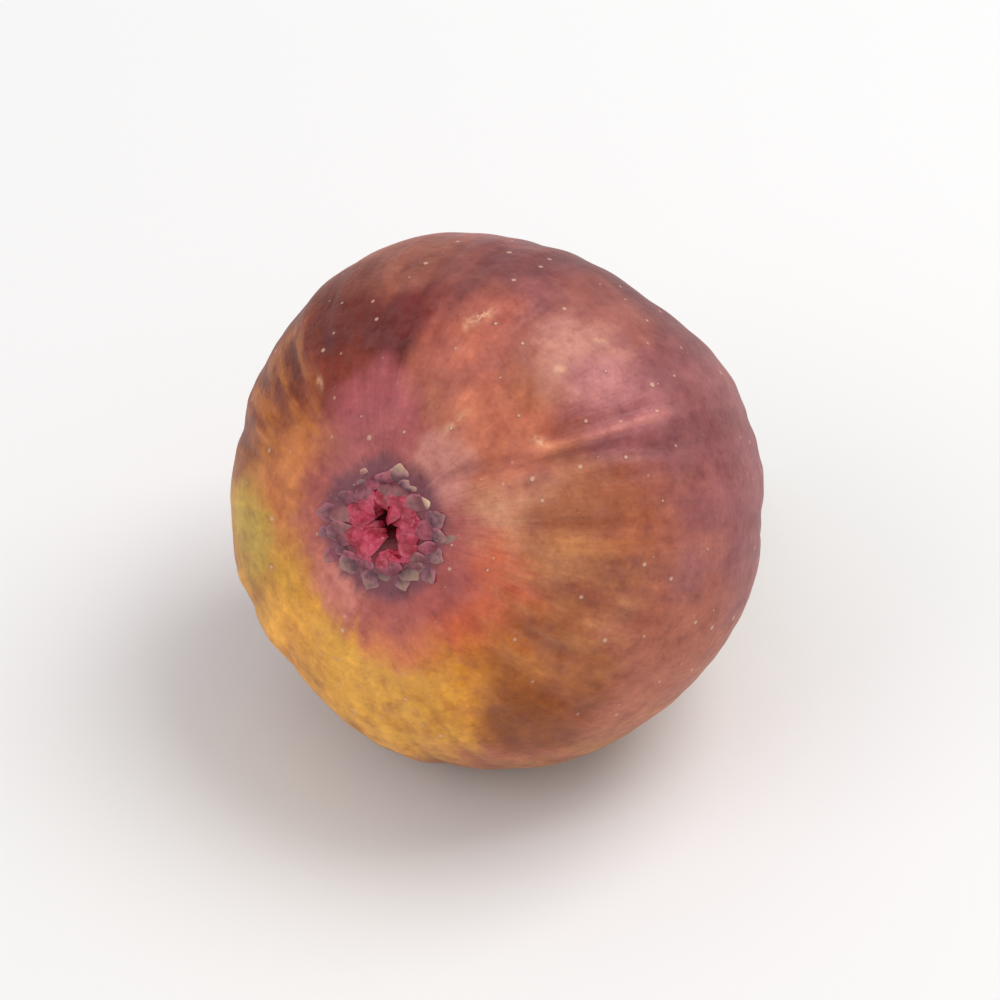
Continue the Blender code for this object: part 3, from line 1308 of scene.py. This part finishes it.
@dataclass
class Skin:
    """The whole outer skin, from the pit of the eye to the end of the stalk.

    The steps are the outline's points in the eye, the crown, the shoulder, the neck and the
    stalk.  Ribs begin near the eye, are lower at a waist, stronger on the neck, and fade
    before the end of the stalk.
    """

    form: FigForm
    placement: Placement
    steps: tuple[int, int, int, int, int] = (6, 24, 18, 7, 5)
    segments: int = 88
    subdivisions: int = 2
    ribs: tuple[Waves, ...] = (Waves(7.4, 38 * MM, 1.3), Waves(15.54, 24 * MM, 0.6, 9.0))
    rib_height: float = 0.22 * MM
    rib_start: Ramp = (3 * MM, 16 * MM)
    waist: float = 38 * MM
    waist_width: float = 9 * MM
    waist_loss: float = 0.5
    neck: Ramp = (46 * MM, 58 * MM)
    neck_gain: float = 0.8
    rib_end: Ramp = (12 * MM, 3 * MM)
    end_loss: float = 0.7
    puckers: Waves = Waves(5.0, 9 * MM, 0.192 * MM, 3.0)
    pucker_start: Ramp = (-1.0 * MM, 1.5 * MM)
    pucker_end: Ramp = (11 * MM, 3 * MM)
    lumps: tuple[Bumps, ...] = (Bumps(13 * MM, 0.22 * MM, 4.2), Bumps(5 * MM, 0.0484 * MM, 7.7))
    lump_start: Ramp = (2 * MM, 12 * MM)
    collar_width: float = 0.8 * MM
    collar_height: float = 0.3 * MM
    # How the painted shade and highlight are read from the heights of the ribs and folds.
    fold_shade: float = 0.30 * MM
    shade_start: Ramp = (6 * MM, 20 * MM)
    deepest_shade: float = 1.2
    folds: tuple[Fold, ...] = (
        Fold(39, 41, 4 * MM, 15 * MM, 0.60 * MM, 0.50 * MM, 0.3),
        Fold(38, 44, 15 * MM, 32 * MM, 0.50 * MM, 0.45 * MM, 1.3),
        Fold(47, 52, 13 * MM, 30 * MM, 0.55 * MM, 0.35 * MM, 0.1),
        Fold(36, 11, 14.5 * MM, 21 * MM, 0.60 * MM, 0.22 * MM, 0.5),
        Fold(-4, 6, 7 * MM, 15 * MM, 0.7 * MM, 0.25 * MM, 0.7),
        Fold(-30, -22, 7 * MM, 17 * MM, 0.8 * MM, 0.2 * MM),
        Fold(-60, -66, 9 * MM, 24 * MM, 0.9 * MM, 0.22 * MM),
        Fold(88, 92, 12 * MM, 30 * MM, 1.0 * MM, 0.2 * MM),
        Fold(122, 118, 12 * MM, 32 * MM, 1.1 * MM, 0.28 * MM),
        Fold(-95, -98, 14 * MM, 36 * MM, 1.0 * MM, 0.22 * MM),
        Fold(-140, -136, 16 * MM, 44 * MM, 1.2 * MM, 0.26 * MM),
        Fold(164, 170, 18 * MM, 46 * MM, 1.2 * MM, 0.26 * MM),
        Fold(-40, -30, 40 * MM, 64 * MM, 1.3 * MM, 0.22 * MM),
        Fold(8, 2, 44 * MM, 66 * MM, 1.3 * MM, 0.25 * MM),
        Fold(76, 70, 48 * MM, 68 * MM, 1.3 * MM, 0.22 * MM),
        Fold(-110, -118, 46 * MM, 68 * MM, 1.3 * MM, 0.25 * MM),
    )
    scars: tuple[Scar, ...] = (
        Scar(-2, 20 * MM, 0.55 * MM, 1.3 * MM, 25, 1.0),
        Scar(-4.5, 18.6 * MM, 0.35 * MM, 0.8 * MM, -20, 0.7),
        Scar(24, 21 * MM, 0.4 * MM, 0.6 * MM, 10, 0.8),
        Scar(23, 27 * MM, 0.35 * MM, 0.6 * MM, 40, 0.7),
        Scar(-57, 13 * MM, 0.35 * MM, 0.7 * MM, 0, 0.8),
        # A painted highlight: a pale fleck on the fold's ridge that stands for a glint of light
        # there.
        Scar(40, 15.4 * MM, 0.4 * MM, 0.9 * MM, 60, 0.9),
        Scar(14, 9 * MM, 0.35 * MM, 1.8 * MM, 8, 0.5),
    )
    piece: bpy.types.Object = field(init=False)

    def build(self, finish: bpy.types.Material) -> bpy.types.Object:
        """Turn, sculpt and lay down the skin.

        Args:
            finish: the skin's material.

        Returns:
            The finished piece.
        """
        self._turn_outline()
        self._sculpt()
        finish_piece(self.piece, "fig_skin", finish)
        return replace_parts(self.piece, CAD_NODE)

    def _turn_outline(self) -> None:
        """Draw the outline point by point, spin it, and smooth the body it makes."""
        outline = self.form.outline(self.steps)
        start_primitive()
        bpy.ops.mesh.primitive_plane_add(size=MM, enter_editmode=True)
        bpy.ops.mesh.merge(type="CENTER")
        bpy.ops.transform.translate(value=(outline[0].x, 0.0, outline[0].y))
        for last, here in zip(outline, outline[1:]):
            step = here - last
            bpy.ops.mesh.extrude_vertices_move(
                TRANSFORM_OT_translate={"value": (step.x, 0.0, step.y)})
        bpy.ops.object.mode_set(mode="OBJECT")
        self.piece = bpy.context.object
        self._mark_along(outline)
        bpy.ops.object.mode_set(mode="EDIT")
        bpy.ops.mesh.select_all(action="SELECT")
        bpy.ops.mesh.spin(steps=self.segments, angle=FULL_TURN, center=(0, 0, 0),
                          axis=(0, 0, 1))
        bpy.ops.mesh.select_all(action="SELECT")
        bpy.ops.mesh.remove_doubles(threshold=WELD_DISTANCE)
        bpy.ops.mesh.normals_make_consistent(inside=False)
        bpy.ops.object.mode_set(mode="OBJECT")
        smoothed(self.piece, self.subdivisions)

    def _mark_along(self, outline: list[Vector]) -> None:
        """Paint each outline point with its distance along the skin from the eye's rim.

        Args:
            outline: the outline's points as (radius, reach).
        """
        rim = self.steps[0]
        lengths = [0.0]
        for last, here in zip(outline, outline[1:]):
            lengths.append(lengths[-1] + (here - last).length)
        drawn = np.array([(point.x, 0.0, point.y) for point in outline])
        nearest = [int(np.argmin(((drawn - row) ** 2).sum(1))) for row in rows_of(self.piece)]
        paint(self.piece, "along", np.array(lengths)[nearest] - lengths[rim])

    def _sculpt(self) -> None:
        """Give the turned body its swells, ribs, folds and puckers, and lay it down."""
        points = SkinPoints(rows_of(self.piece), painted(self.piece, "along"))
        outward = rows_of(self.piece, "normal")
        ribs = np.clip(sum(waves.at(points) for waves in self.ribs), -1.0, 1.0)
        folds = sum(fold.at(points) for fold in self.folds)
        relief = (self.rib_height * ribs * self._rib_share(points.along)
                  + self._puckers(points) + self._lumps(points) + folds
                  + self._collar(points))
        rows = self.form.broad(points.turned) + outward * relief[:, None]
        move_points(self.piece, self.placement.lay(rows))
        # Store the painted shade and highlight: high on crests and ridges, low in furrows and
        # grooves.
        shade = ribs * smooth_step(points.along, *self.shade_start) + folds / self.fold_shade
        paint(self.piece, "relief_shading", np.clip(shade, -self.deepest_shade, self.deepest_shade))
        paint(self.piece, "scar", np.max([scar.at(points) for scar in self.scars], axis=0))
        paint(self.piece, "skin_map", np.column_stack([
            points.around, points.along / self.form.girth_radius]))

    def _rib_share(self, along: np.ndarray) -> np.ndarray:
        """How strong the ribs are.

        Args:
            along: distances along the skin from the rim of the eye.

        Returns:
            A share for each distance.
        """
        left = along.max() - self.form.stalk_end_radius - along
        waist = 1.0 - self.waist_loss * np.exp(-((along - self.waist) / self.waist_width) ** 2)
        neck = 1.0 + self.neck_gain * smooth_step(along, *self.neck)
        end = 1.0 - self.end_loss * smooth_step(left, *self.rib_end)
        return smooth_step(along, *self.rib_start) * waist * neck * end

    def _puckers(self, points: SkinPoints) -> np.ndarray:
        """Short wrinkles that run into the eye, as a height for each point."""
        share = smooth_step(points.along, *self.pucker_start)
        return self.puckers.at(points) * share * smooth_step(points.along, *self.pucker_end)

    def _lumps(self, points: SkinPoints) -> np.ndarray:
        """Soft dents and rises of the ripe flesh under the skin, as a height for each point."""
        heights = sum(lumps.at(points.turned) for lumps in self.lumps)
        return heights * smooth_step(points.along, *self.lump_start)

    def _collar(self, points: SkinPoints) -> np.ndarray:
        """The low ring where the stalk joins the neck, as a height for each point."""
        away = (points.turned[:, 2] + self.form.stalk_root_reach) / self.collar_width
        return np.where(points.along > 0, self.collar_height * bell(away), 0.0)


@dataclass(frozen=True)
class ScaleShape:
    """One small pointed scale, lying along +Y with its base at the origin.

    Its middle arches up, its tip dips, its sides cup down, and the blunter it is, the more of
    its breadth the tip keeps.  The breadth follows a half wave that the foot enters late.
    """

    length: float
    width: float
    thickness: float
    arch: float
    dip: float
    cup: float
    blunt: float = 0.0
    rows: int = 9
    columns: int = 7
    foot: float = 0.26
    sharpness: float = 1.1
    least_breadth: float = 0.04
    arch_lean: float = 0.8

    def make(self) -> bpy.types.Object:
        """Shape a grid into the scale, thicken it and smooth it.

        Returns:
            The scale.
        """
        start_primitive()
        bpy.ops.mesh.primitive_grid_add(x_subdivisions=self.columns - 1,
                                        y_subdivisions=self.rows - 1, size=1.0)
        scale = bpy.context.object
        points = rows_of(scale)
        across, along = points[:, 0] * 2.0, points[:, 1] + 0.5
        paint(scale, "scale_map", np.column_stack([across, along, np.zeros(len(along))]))
        wave = self.foot + (1.0 - self.foot - self.blunt) * along
        breadth = np.maximum(np.sin(math.pi * wave) ** self.sharpness, self.least_breadth)
        height = (self.arch * np.sin(math.pi * along ** self.arch_lean)
                  - self.dip * along ** 2 - self.cup * (across * breadth) ** 2)
        move_points(scale, np.column_stack([across * breadth * self.width / 2,
                                            along * self.length, height]))
        apply_modifier(scale, "SOLIDIFY", thickness=self.thickness, offset=0.0)
        smoothed(scale, 1)
        return scale


@dataclass(frozen=True)
class Whorl:
    """A ring of scales round the eye.

    The radius is that of their bases, inward says which way they point, outer is how dull
    their colour is, and those that reach the slit are as long as that takes.
    """

    shape: ScaleShape
    count: int
    radius: float
    lift: float
    inward: bool
    outer: float
    turn: float = 0.0
    reaches_slit: bool = False


@dataclass
class Eye:
    """The eye of the fig: whorls of scales that close round a dark slit.

    The slit runs along one longitude and bows sideways: its ends and its middle lie that far
    to the bowed side of the eye's centre.  The scales stop short of it by the gap.  The eye is
    a little wider one way than the other, and offset from the fig's axis towards a longitude.
    Scales vary in place, size and turn, and outer ones sway more.  Each dry tip is the
    longitude of an outer scale and how dried it is.
    """

    form: FigForm
    placement: Placement
    slit_way: float = 135.0
    slit_half_length: float = 3.0 * MM
    slit_ends: float = -0.9 * MM
    slit_middle: float = 0.55 * MM
    slit_gap: float = 0.1 * MM
    slit_lean: float = 0.4
    slit_reach: Span = (0.92, 1.08)
    shortest: float = 0.5
    offset: float = 0.9 * MM
    offset_longitude: float = 168.0
    long_way: float = 75.0
    wider: float = 0.10
    narrower: float = 0.16
    out_of_round: Ramp = (2.5 * MM, 6.5 * MM)
    settling: float = 0.9
    crowding: float = 0.25
    base_spread: float = 0.3 * MM
    lift_spread: float = 0.12 * MM
    sizes: Span = (0.76, 1.26)
    sway: float = 14.0
    outer_sway: float = 16.0
    pitch: Span = (-6.0, 10.0)
    roll: float = 18.0
    crumples: tuple[Bumps, ...] = (Bumps(0.8 * MM, 0.06 * MM), Bumps(0.33 * MM, 0.03 * MM))
    waver: Bumps = Bumps(1.1 * MM, 0.16 * MM, 5.3)
    seed: int = 7
    dryness: float = 0.2
    dry_width: float = 14.0
    dry_part: Ramp = (0.35, 0.9)
    dry_tips: tuple[tuple[float, float], ...] = (
        (24.0, 1.0), (4.0, 0.45), (-57.0, 0.55), (146.0, 0.2), (-165.0, 0.2))
    whorls: tuple[Whorl, ...] = (
        Whorl(ScaleShape(2.4 * MM, 2.0 * MM, 0.26 * MM, 0.55 * MM, 1.3 * MM, 0.35 * MM, 0.08),
              15, 3.6 * MM, -0.25 * MM, True, 0.0, reaches_slit=True),
        Whorl(ScaleShape(2.2 * MM, 1.8 * MM, 0.22 * MM, 0.42 * MM, 0.45 * MM, 0.35 * MM),
              19, 4.3 * MM, -0.10 * MM, True, 0.12, 11.0),
        Whorl(ScaleShape(2.2 * MM, 2.3 * MM, 0.20 * MM, 0.26 * MM, 0.15 * MM, 0.3 * MM),
              18, 5.7 * MM, -0.14 * MM, True, 0.8, 4.0),
        Whorl(ScaleShape(1.9 * MM, 2.5 * MM, 0.20 * MM, 0.20 * MM, 0.15 * MM, 0.3 * MM),
              17, 5.1 * MM, -0.20 * MM, False, 1.0, 7.0),
        Whorl(ScaleShape(2.2 * MM, 2.2 * MM, 0.18 * MM, 0.14 * MM, 0.15 * MM, 0.25 * MM),
              15, 5.5 * MM, -0.28 * MM, False, 1.0, 0.0),
    )

    def build(self, finish: bpy.types.Material) -> bpy.types.Object:
        """Make every whorl and join the scales into one piece.

        Args:
            finish: the scales' material.

        Returns:
            The finished piece.
        """
        draw = np.random.default_rng(self.seed)
        piece = joined([scale for whorl in self.whorls for scale in self._whorl(whorl, draw)])
        self._crumple(piece)
        return finish_piece(piece, "eye_scales", finish)

    def _whorl(self, whorl: Whorl, draw: np.random.Generator) -> list[bpy.types.Object]:
        """Make the scales of one ring.

        Args:
            whorl: the ring.
            draw: the eye's random draws.

        Returns:
            The scales, each with its own mesh.
        """
        pattern = whorl.shape.make()
        ring = []
        for number in range(whorl.count):
            place = number + draw.uniform(-self.crowding, self.crowding)
            longitude = whorl.turn + place * 360 / whorl.count
            scale = copy_of(pattern, self._seat(whorl, longitude, draw))
            self._mark(scale, whorl, longitude, draw)
            ring.append(scale)
        bpy.data.objects.remove(pattern, do_unlink=True)
        return ring

    def _slit_point(self, base: Vector) -> Vector:
        """The point of the slit that a scale leans to.

        Args:
            base: where the scale's base is.

        Returns:
            The point.
        """
        along = direction(self.slit_way, 0.0)
        bowed = direction(self.slit_way + 90, 0.0)
        share = base.normalized().dot(along)
        bow = self.slit_ends + (self.slit_middle - self.slit_ends) * (1.0 - share ** 2)
        return along * (share * self.slit_half_length) + bowed * bow

    def _seat(self, whorl: Whorl, longitude: float, draw: np.random.Generator) -> Matrix:
        """Draw where a scale sits on the fig's own axis, before the fig is laid down.

        Args:
            whorl: the scale's ring.
            longitude: where in the ring it is.
            draw: the eye's random draws.

        Returns:
            The way from the scale's own frame.
        """
        out = direction(longitude, 0.0)
        base = out * (whorl.radius + draw.uniform(-self.base_spread, self.base_spread))
        size = draw.uniform(*self.sizes)
        stretch = size
        along = -out if whorl.inward else out
        if whorl.reaches_slit:
            reach = self._slit_point(base) - base
            along = (reach.normalized() - self.slit_lean * out).normalized()
            free = max(reach.length - self.slit_gap, self.shortest * whorl.shape.length)
            stretch = draw.uniform(*self.slit_reach) * free / whorl.shape.length
        side = along.cross(UP)
        lift = whorl.lift + draw.uniform(-self.lift_spread, self.lift_spread)
        base += UP * (self.form.eye_reach + lift)
        basis = Matrix((side, along, UP)).transposed().to_4x4()
        sway = self.sway + self.outer_sway * whorl.outer
        twist = Matrix.Rotation(math.radians(draw.uniform(-sway, sway)), 4, "Z")
        pitch = Matrix.Rotation(math.radians(draw.uniform(*self.pitch)), 4, "X")
        roll = Matrix.Rotation(math.radians(draw.uniform(-self.roll, self.roll)), 4, "Y")
        scale = Matrix.Diagonal((size, stretch, size, 1.0))
        return Matrix.Translation(base) @ basis @ twist @ pitch @ roll @ scale

    def _mark(self, scale: bpy.types.Object, whorl: Whorl, longitude: float,
              draw: np.random.Generator) -> None:
        """Paint a scale with its own lot, its whorl's dullness and how dry its tip is.

        Args:
            scale: the scale.
            whorl: its ring.
            longitude: where in the ring it is.
            draw: the eye's random draws.
        """
        scale_map = painted(scale, "scale_map")
        scale_map[:, 2] = draw.uniform()
        paint(scale, "scale_map", scale_map)
        paint(scale, "outer", np.full(len(scale_map), whorl.outer))
        dryness = 0.0
        if whorl.outer == 1.0:
            dryness = draw.uniform(0.0, self.dryness)
            for dry_longitude, strength in self.dry_tips:
                if abs((longitude - dry_longitude + 180) % 360 - 180) < self.dry_width:
                    dryness = strength
        paint(scale, "dry", dryness * smooth_step(scale_map[:, 1], *self.dry_part))

    def _crumple(self, piece: bpy.types.Object) -> None:
        """Wrinkle the scales a little, settle them on the skin and lay them down.

        Args:
            piece: the joined scales.
        """
        rows = rows_of(piece)
        dents = sum(crumples.at(rows) for crumples in self.crumples)
        rows += rows_of(piece, "normal") * dents[:, None]
        rows[:, 2] += self.waver.at(rows)
        far = smooth_step(np.hypot(rows[:, 0], rows[:, 1]), *self.out_of_round)
        long_way = np.array(direction(self.long_way, 0.0))
        short_way = np.array(direction(self.long_way + 90, 0.0))
        rows = (rows + np.outer(far * self.wider * (rows @ long_way), long_way)
                - np.outer(far * self.narrower * (rows @ short_way), short_way))
        rows += np.array(direction(self.offset_longitude, 0.0)) * self.offset
        rows += (self.form.broad(rows) - rows) * self.settling
        move_points(piece, self.placement.lay(rows))


@dataclass
class Stalk:
    """The cut end of the stalk and the small bracts at its root.

    Each inset of the cut end is how far in it goes and how far it rises.
    """

    form: FigForm
    placement: Placement
    bract: ScaleShape = ScaleShape(3.0 * MM, 3.6 * MM, 0.35 * MM, 0.35 * MM, 0.0, 0.7 * MM)
    bract_longitudes: tuple[float, ...] = (15.0, 140.0, -105.0)
    bract_lean: float = 0.42
    bract_standoff: float = 0.1 * MM
    bract_rise: float = 0.6 * MM
    cut_sides: int = 64
    cut_height: float = 0.22 * MM
    cut_margin: float = 0.25 * MM
    cut_standoff: float = 0.05 * MM
    insets: tuple[tuple[float, float], ...] = (
        (0.35 * MM, 0.10 * MM), (0.5 * MM, 0.12 * MM), (0.6 * MM, -0.05 * MM),
        (0.6 * MM, 0.1 * MM), (0.5 * MM, 0.15 * MM), (0.4 * MM, 0.1 * MM))
    pith: Ramp = (0.94, 0.80)
    rough: tuple[Bumps, ...] = (Bumps(0.8 * MM, 0.08 * MM), Bumps(0.35 * MM, 0.04 * MM))
    rough_part: Ramp = (1.0, 0.85)

    def build(self, finish: bpy.types.Material) -> list[bpy.types.Object]:
        """Make the cut end and the bracts.

        Args:
            finish: the material of both.

        Returns:
            The finished pieces.
        """
        return [self._cut_end(finish), self._bracts(finish)]

    def _cut_end(self, finish: bpy.types.Material) -> bpy.types.Object:
        """Make a rough disc with a raised bark rim, a dried ring and a sunken pith.

        Args:
            finish: its material.

        Returns:
            The finished piece.
        """
        radius = self.form.stalk_end_radius - self.cut_margin
        start_primitive()
        bpy.ops.mesh.primitive_circle_add(vertices=self.cut_sides, radius=radius,
                                          fill_type="NGON", enter_editmode=True)
        bpy.ops.mesh.extrude_region_move(
            TRANSFORM_OT_translate={"value": (0.0, 0.0, -self.cut_height)})
        for inset, rise in self.insets:
            bpy.ops.mesh.inset(thickness=inset, depth=0.0)
            bpy.ops.transform.translate(value=(0.0, 0.0, rise))
        bpy.ops.mesh.select_all(action="SELECT")
        bpy.ops.mesh.normals_make_consistent(inside=False)
        bpy.ops.object.mode_set(mode="OBJECT")
        disc = bpy.context.object
        smoothed(disc, 2)
        rows = rows_of(disc)
        out = np.hypot(rows[:, 0], rows[:, 1]) / radius
        paint(disc, "pith", smooth_step(out, *self.pith))
        rough = sum(bumps.at(rows) for bumps in self.rough)
        rows[:, 2] += rough * smooth_step(out, *self.rough_part)
        rows[:, 2] -= self.form.stalk_reach - self.cut_standoff
        self._lay(disc, rows)
        return finish_piece(disc, "stalk_cut", finish)

    def _bracts(self, finish: bpy.types.Material) -> bpy.types.Object:
        """Make three small bracts that lie against the foot of the neck.

        Args:
            finish: their material.

        Returns:
            The finished piece.
        """
        pattern = self.bract.make()
        bracts = []
        for longitude in self.bract_longitudes:
            out = direction(longitude, 0.0)
            along = (UP + self.bract_lean * out).normalized()
            side = along.cross(out).normalized()
            outward = side.cross(along)
            base = out * (self.form.stalk_root_radius + self.bract_standoff)
            base.z = self.bract_rise - self.form.stalk_root_reach
            basis = Matrix((side, along, outward)).transposed().to_4x4()
            bracts.append(copy_of(pattern, Matrix.Translation(base) @ basis))
        bpy.data.objects.remove(pattern, do_unlink=True)
        piece = joined(bracts)
        paint(piece, "pith", np.zeros(len(piece.data.vertices)))
        self._lay(piece, rows_of(piece))
        return finish_piece(piece, "neck_bracts", finish)

    def _lay(self, piece: bpy.types.Object, rows: np.ndarray) -> None:
        """Move a piece's rows with the neck's bend and lay them down."""
        bent = rows + self.form.neck_shift(rows[:, 2])
        move_points(piece, self.placement.lay(bent))


# The studio.

@dataclass
class Lamp:
    """A soft square lamp that looks at the fig.

    The azimuth and elevation are degrees as for the camera, and the distance and size are
    in metres.
    """

    name: str
    azimuth: float
    elevation: float
    distance: float
    size: float
    power: float
    colour: tuple[float, float, float] = (1.0, 1.0, 1.0)

    def hang(self, target: Vector) -> None:
        """Hang the lamp.

        Args:
            target: what it looks at.
        """
        back = toward(self.azimuth, self.elevation)
        bpy.ops.object.light_add(type="AREA", location=target + back * self.distance)
        lamp = bpy.context.object
        lamp.name = self.name
        lamp.rotation_euler = back.to_track_quat("Z", "Y").to_euler()
        lamp.data.size = self.size
        lamp.data.energy = self.power
        lamp.data.color = self.colour


def toward(azimuth: float, elevation: float) -> Vector:
    """The way from the fig to something round it.

    Args:
        azimuth: degrees from -Y towards +X.
        elevation: degrees above the floor.

    Returns:
        The unit vector.
    """
    lon, lat = math.radians(azimuth), math.radians(elevation)
    return Vector((math.sin(lon) * math.cos(lat), -math.cos(lon) * math.cos(lat),
                   math.sin(lat)))


@dataclass
class Studio:
    """A plain pale floor, soft light from all round, and the camera."""

    target: Vector
    camera_azimuth: float = 37.4
    camera_elevation: float = 44.1
    camera_distance: float = 0.718
    lens: float = 244.8
    sensor: float = 36.0
    clip_start: float = 0.01
    clip_end: float = 50.0
    floor_size: float = 9.0
    floor_colour: Colour = tint(243, 243, 244)
    floor_roughness: float = 0.65
    floor_specular: float = 0.2
    backdrop: Colour = tint(174, 174, 175)
    sky_strength: float = 0.58
    lamps: tuple[Lamp, ...] = (
        Lamp("key", 146.0, 60.0, 0.75, 0.45, 3.1, (1.0, 0.985, 0.96)),
        Lamp("fill", -25.0, 40.0, 0.9, 0.6, 1.3, (1.0, 0.99, 0.97)),
    )

    def build(self) -> None:
        """Lay the floor, light the scene and set the camera."""
        self._floor()
        self._sky()
        for lamp in self.lamps:
            start_primitive()
            lamp.hang(self.target)
        self._camera()
        bpy.context.scene.view_settings.view_transform = "Standard"

    def _floor(self) -> None:
        """Lay a wide floor, plain and pale."""
        start_primitive()
        bpy.ops.mesh.primitive_plane_add(size=self.floor_size)
        floor = bpy.context.object
        floor.name = "floor"
        material = bpy.data.materials.new("floor")
        material.use_nodes = True
        shader = material.node_tree.nodes["Principled BSDF"].inputs
        shader["Base Color"].default_value = self.floor_colour
        shader["Roughness"].default_value = self.floor_roughness
        shader["Specular IOR Level"].default_value = self.floor_specular
        floor.data.materials.append(material)

    def _sky(self) -> None:
        """Light evenly from all round, with a pale backdrop where the camera sees the sky."""
        world = bpy.data.worlds.new("studio")
        world.use_nodes = True
        bpy.context.scene.world = world
        bench = NodeBench(world.node_tree)
        light = world.node_tree.nodes["Background"]
        light.inputs["Color"].default_value = WHITE
        light.inputs["Strength"].default_value = self.sky_strength
        seen = bench.add("ShaderNodeBackground", {"Color": self.backdrop, "Strength": 1.0})
        path = bench.add("ShaderNodeLightPath")
        both = bench.add("ShaderNodeMixShader", {0: path.outputs["Is Camera Ray"],
                                                 1: light.outputs[0], 2: seen.outputs[0]})
        bench.feed(world.node_tree.nodes["World Output"].inputs["Surface"], both.outputs[0])

    def _camera(self) -> None:
        """Set the camera, which looks at the fig's heart."""
        start_primitive()
        back = toward(self.camera_azimuth, self.camera_elevation)
        bpy.ops.object.camera_add(location=self.target + back * self.camera_distance)
        camera = bpy.context.object
        camera.rotation_euler = back.to_track_quat("Z", "Y").to_euler()
        camera.data.lens = self.lens
        camera.data.sensor_width = self.sensor
        camera.data.clip_start = self.clip_start
        camera.data.clip_end = self.clip_end
        bpy.context.scene.camera = camera


def main() -> None:
    """Build the fig and the studio around it, in order."""
    logging.basicConfig(level=logging.INFO, format="%(name)s: %(message)s")
    form = FigForm()
    placement = Placement(form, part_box(CAD_NODE))
    effects = Effects()
    Skin(form, placement).build(SkinFinish().material(effects, placement))
    Eye(form, placement).build(ScaleFinish().material(effects))
    Stalk(form, placement).build(StalkFinish().material(effects))
    Studio(placement.shift).build()


if __name__ == "__main__":
    main()
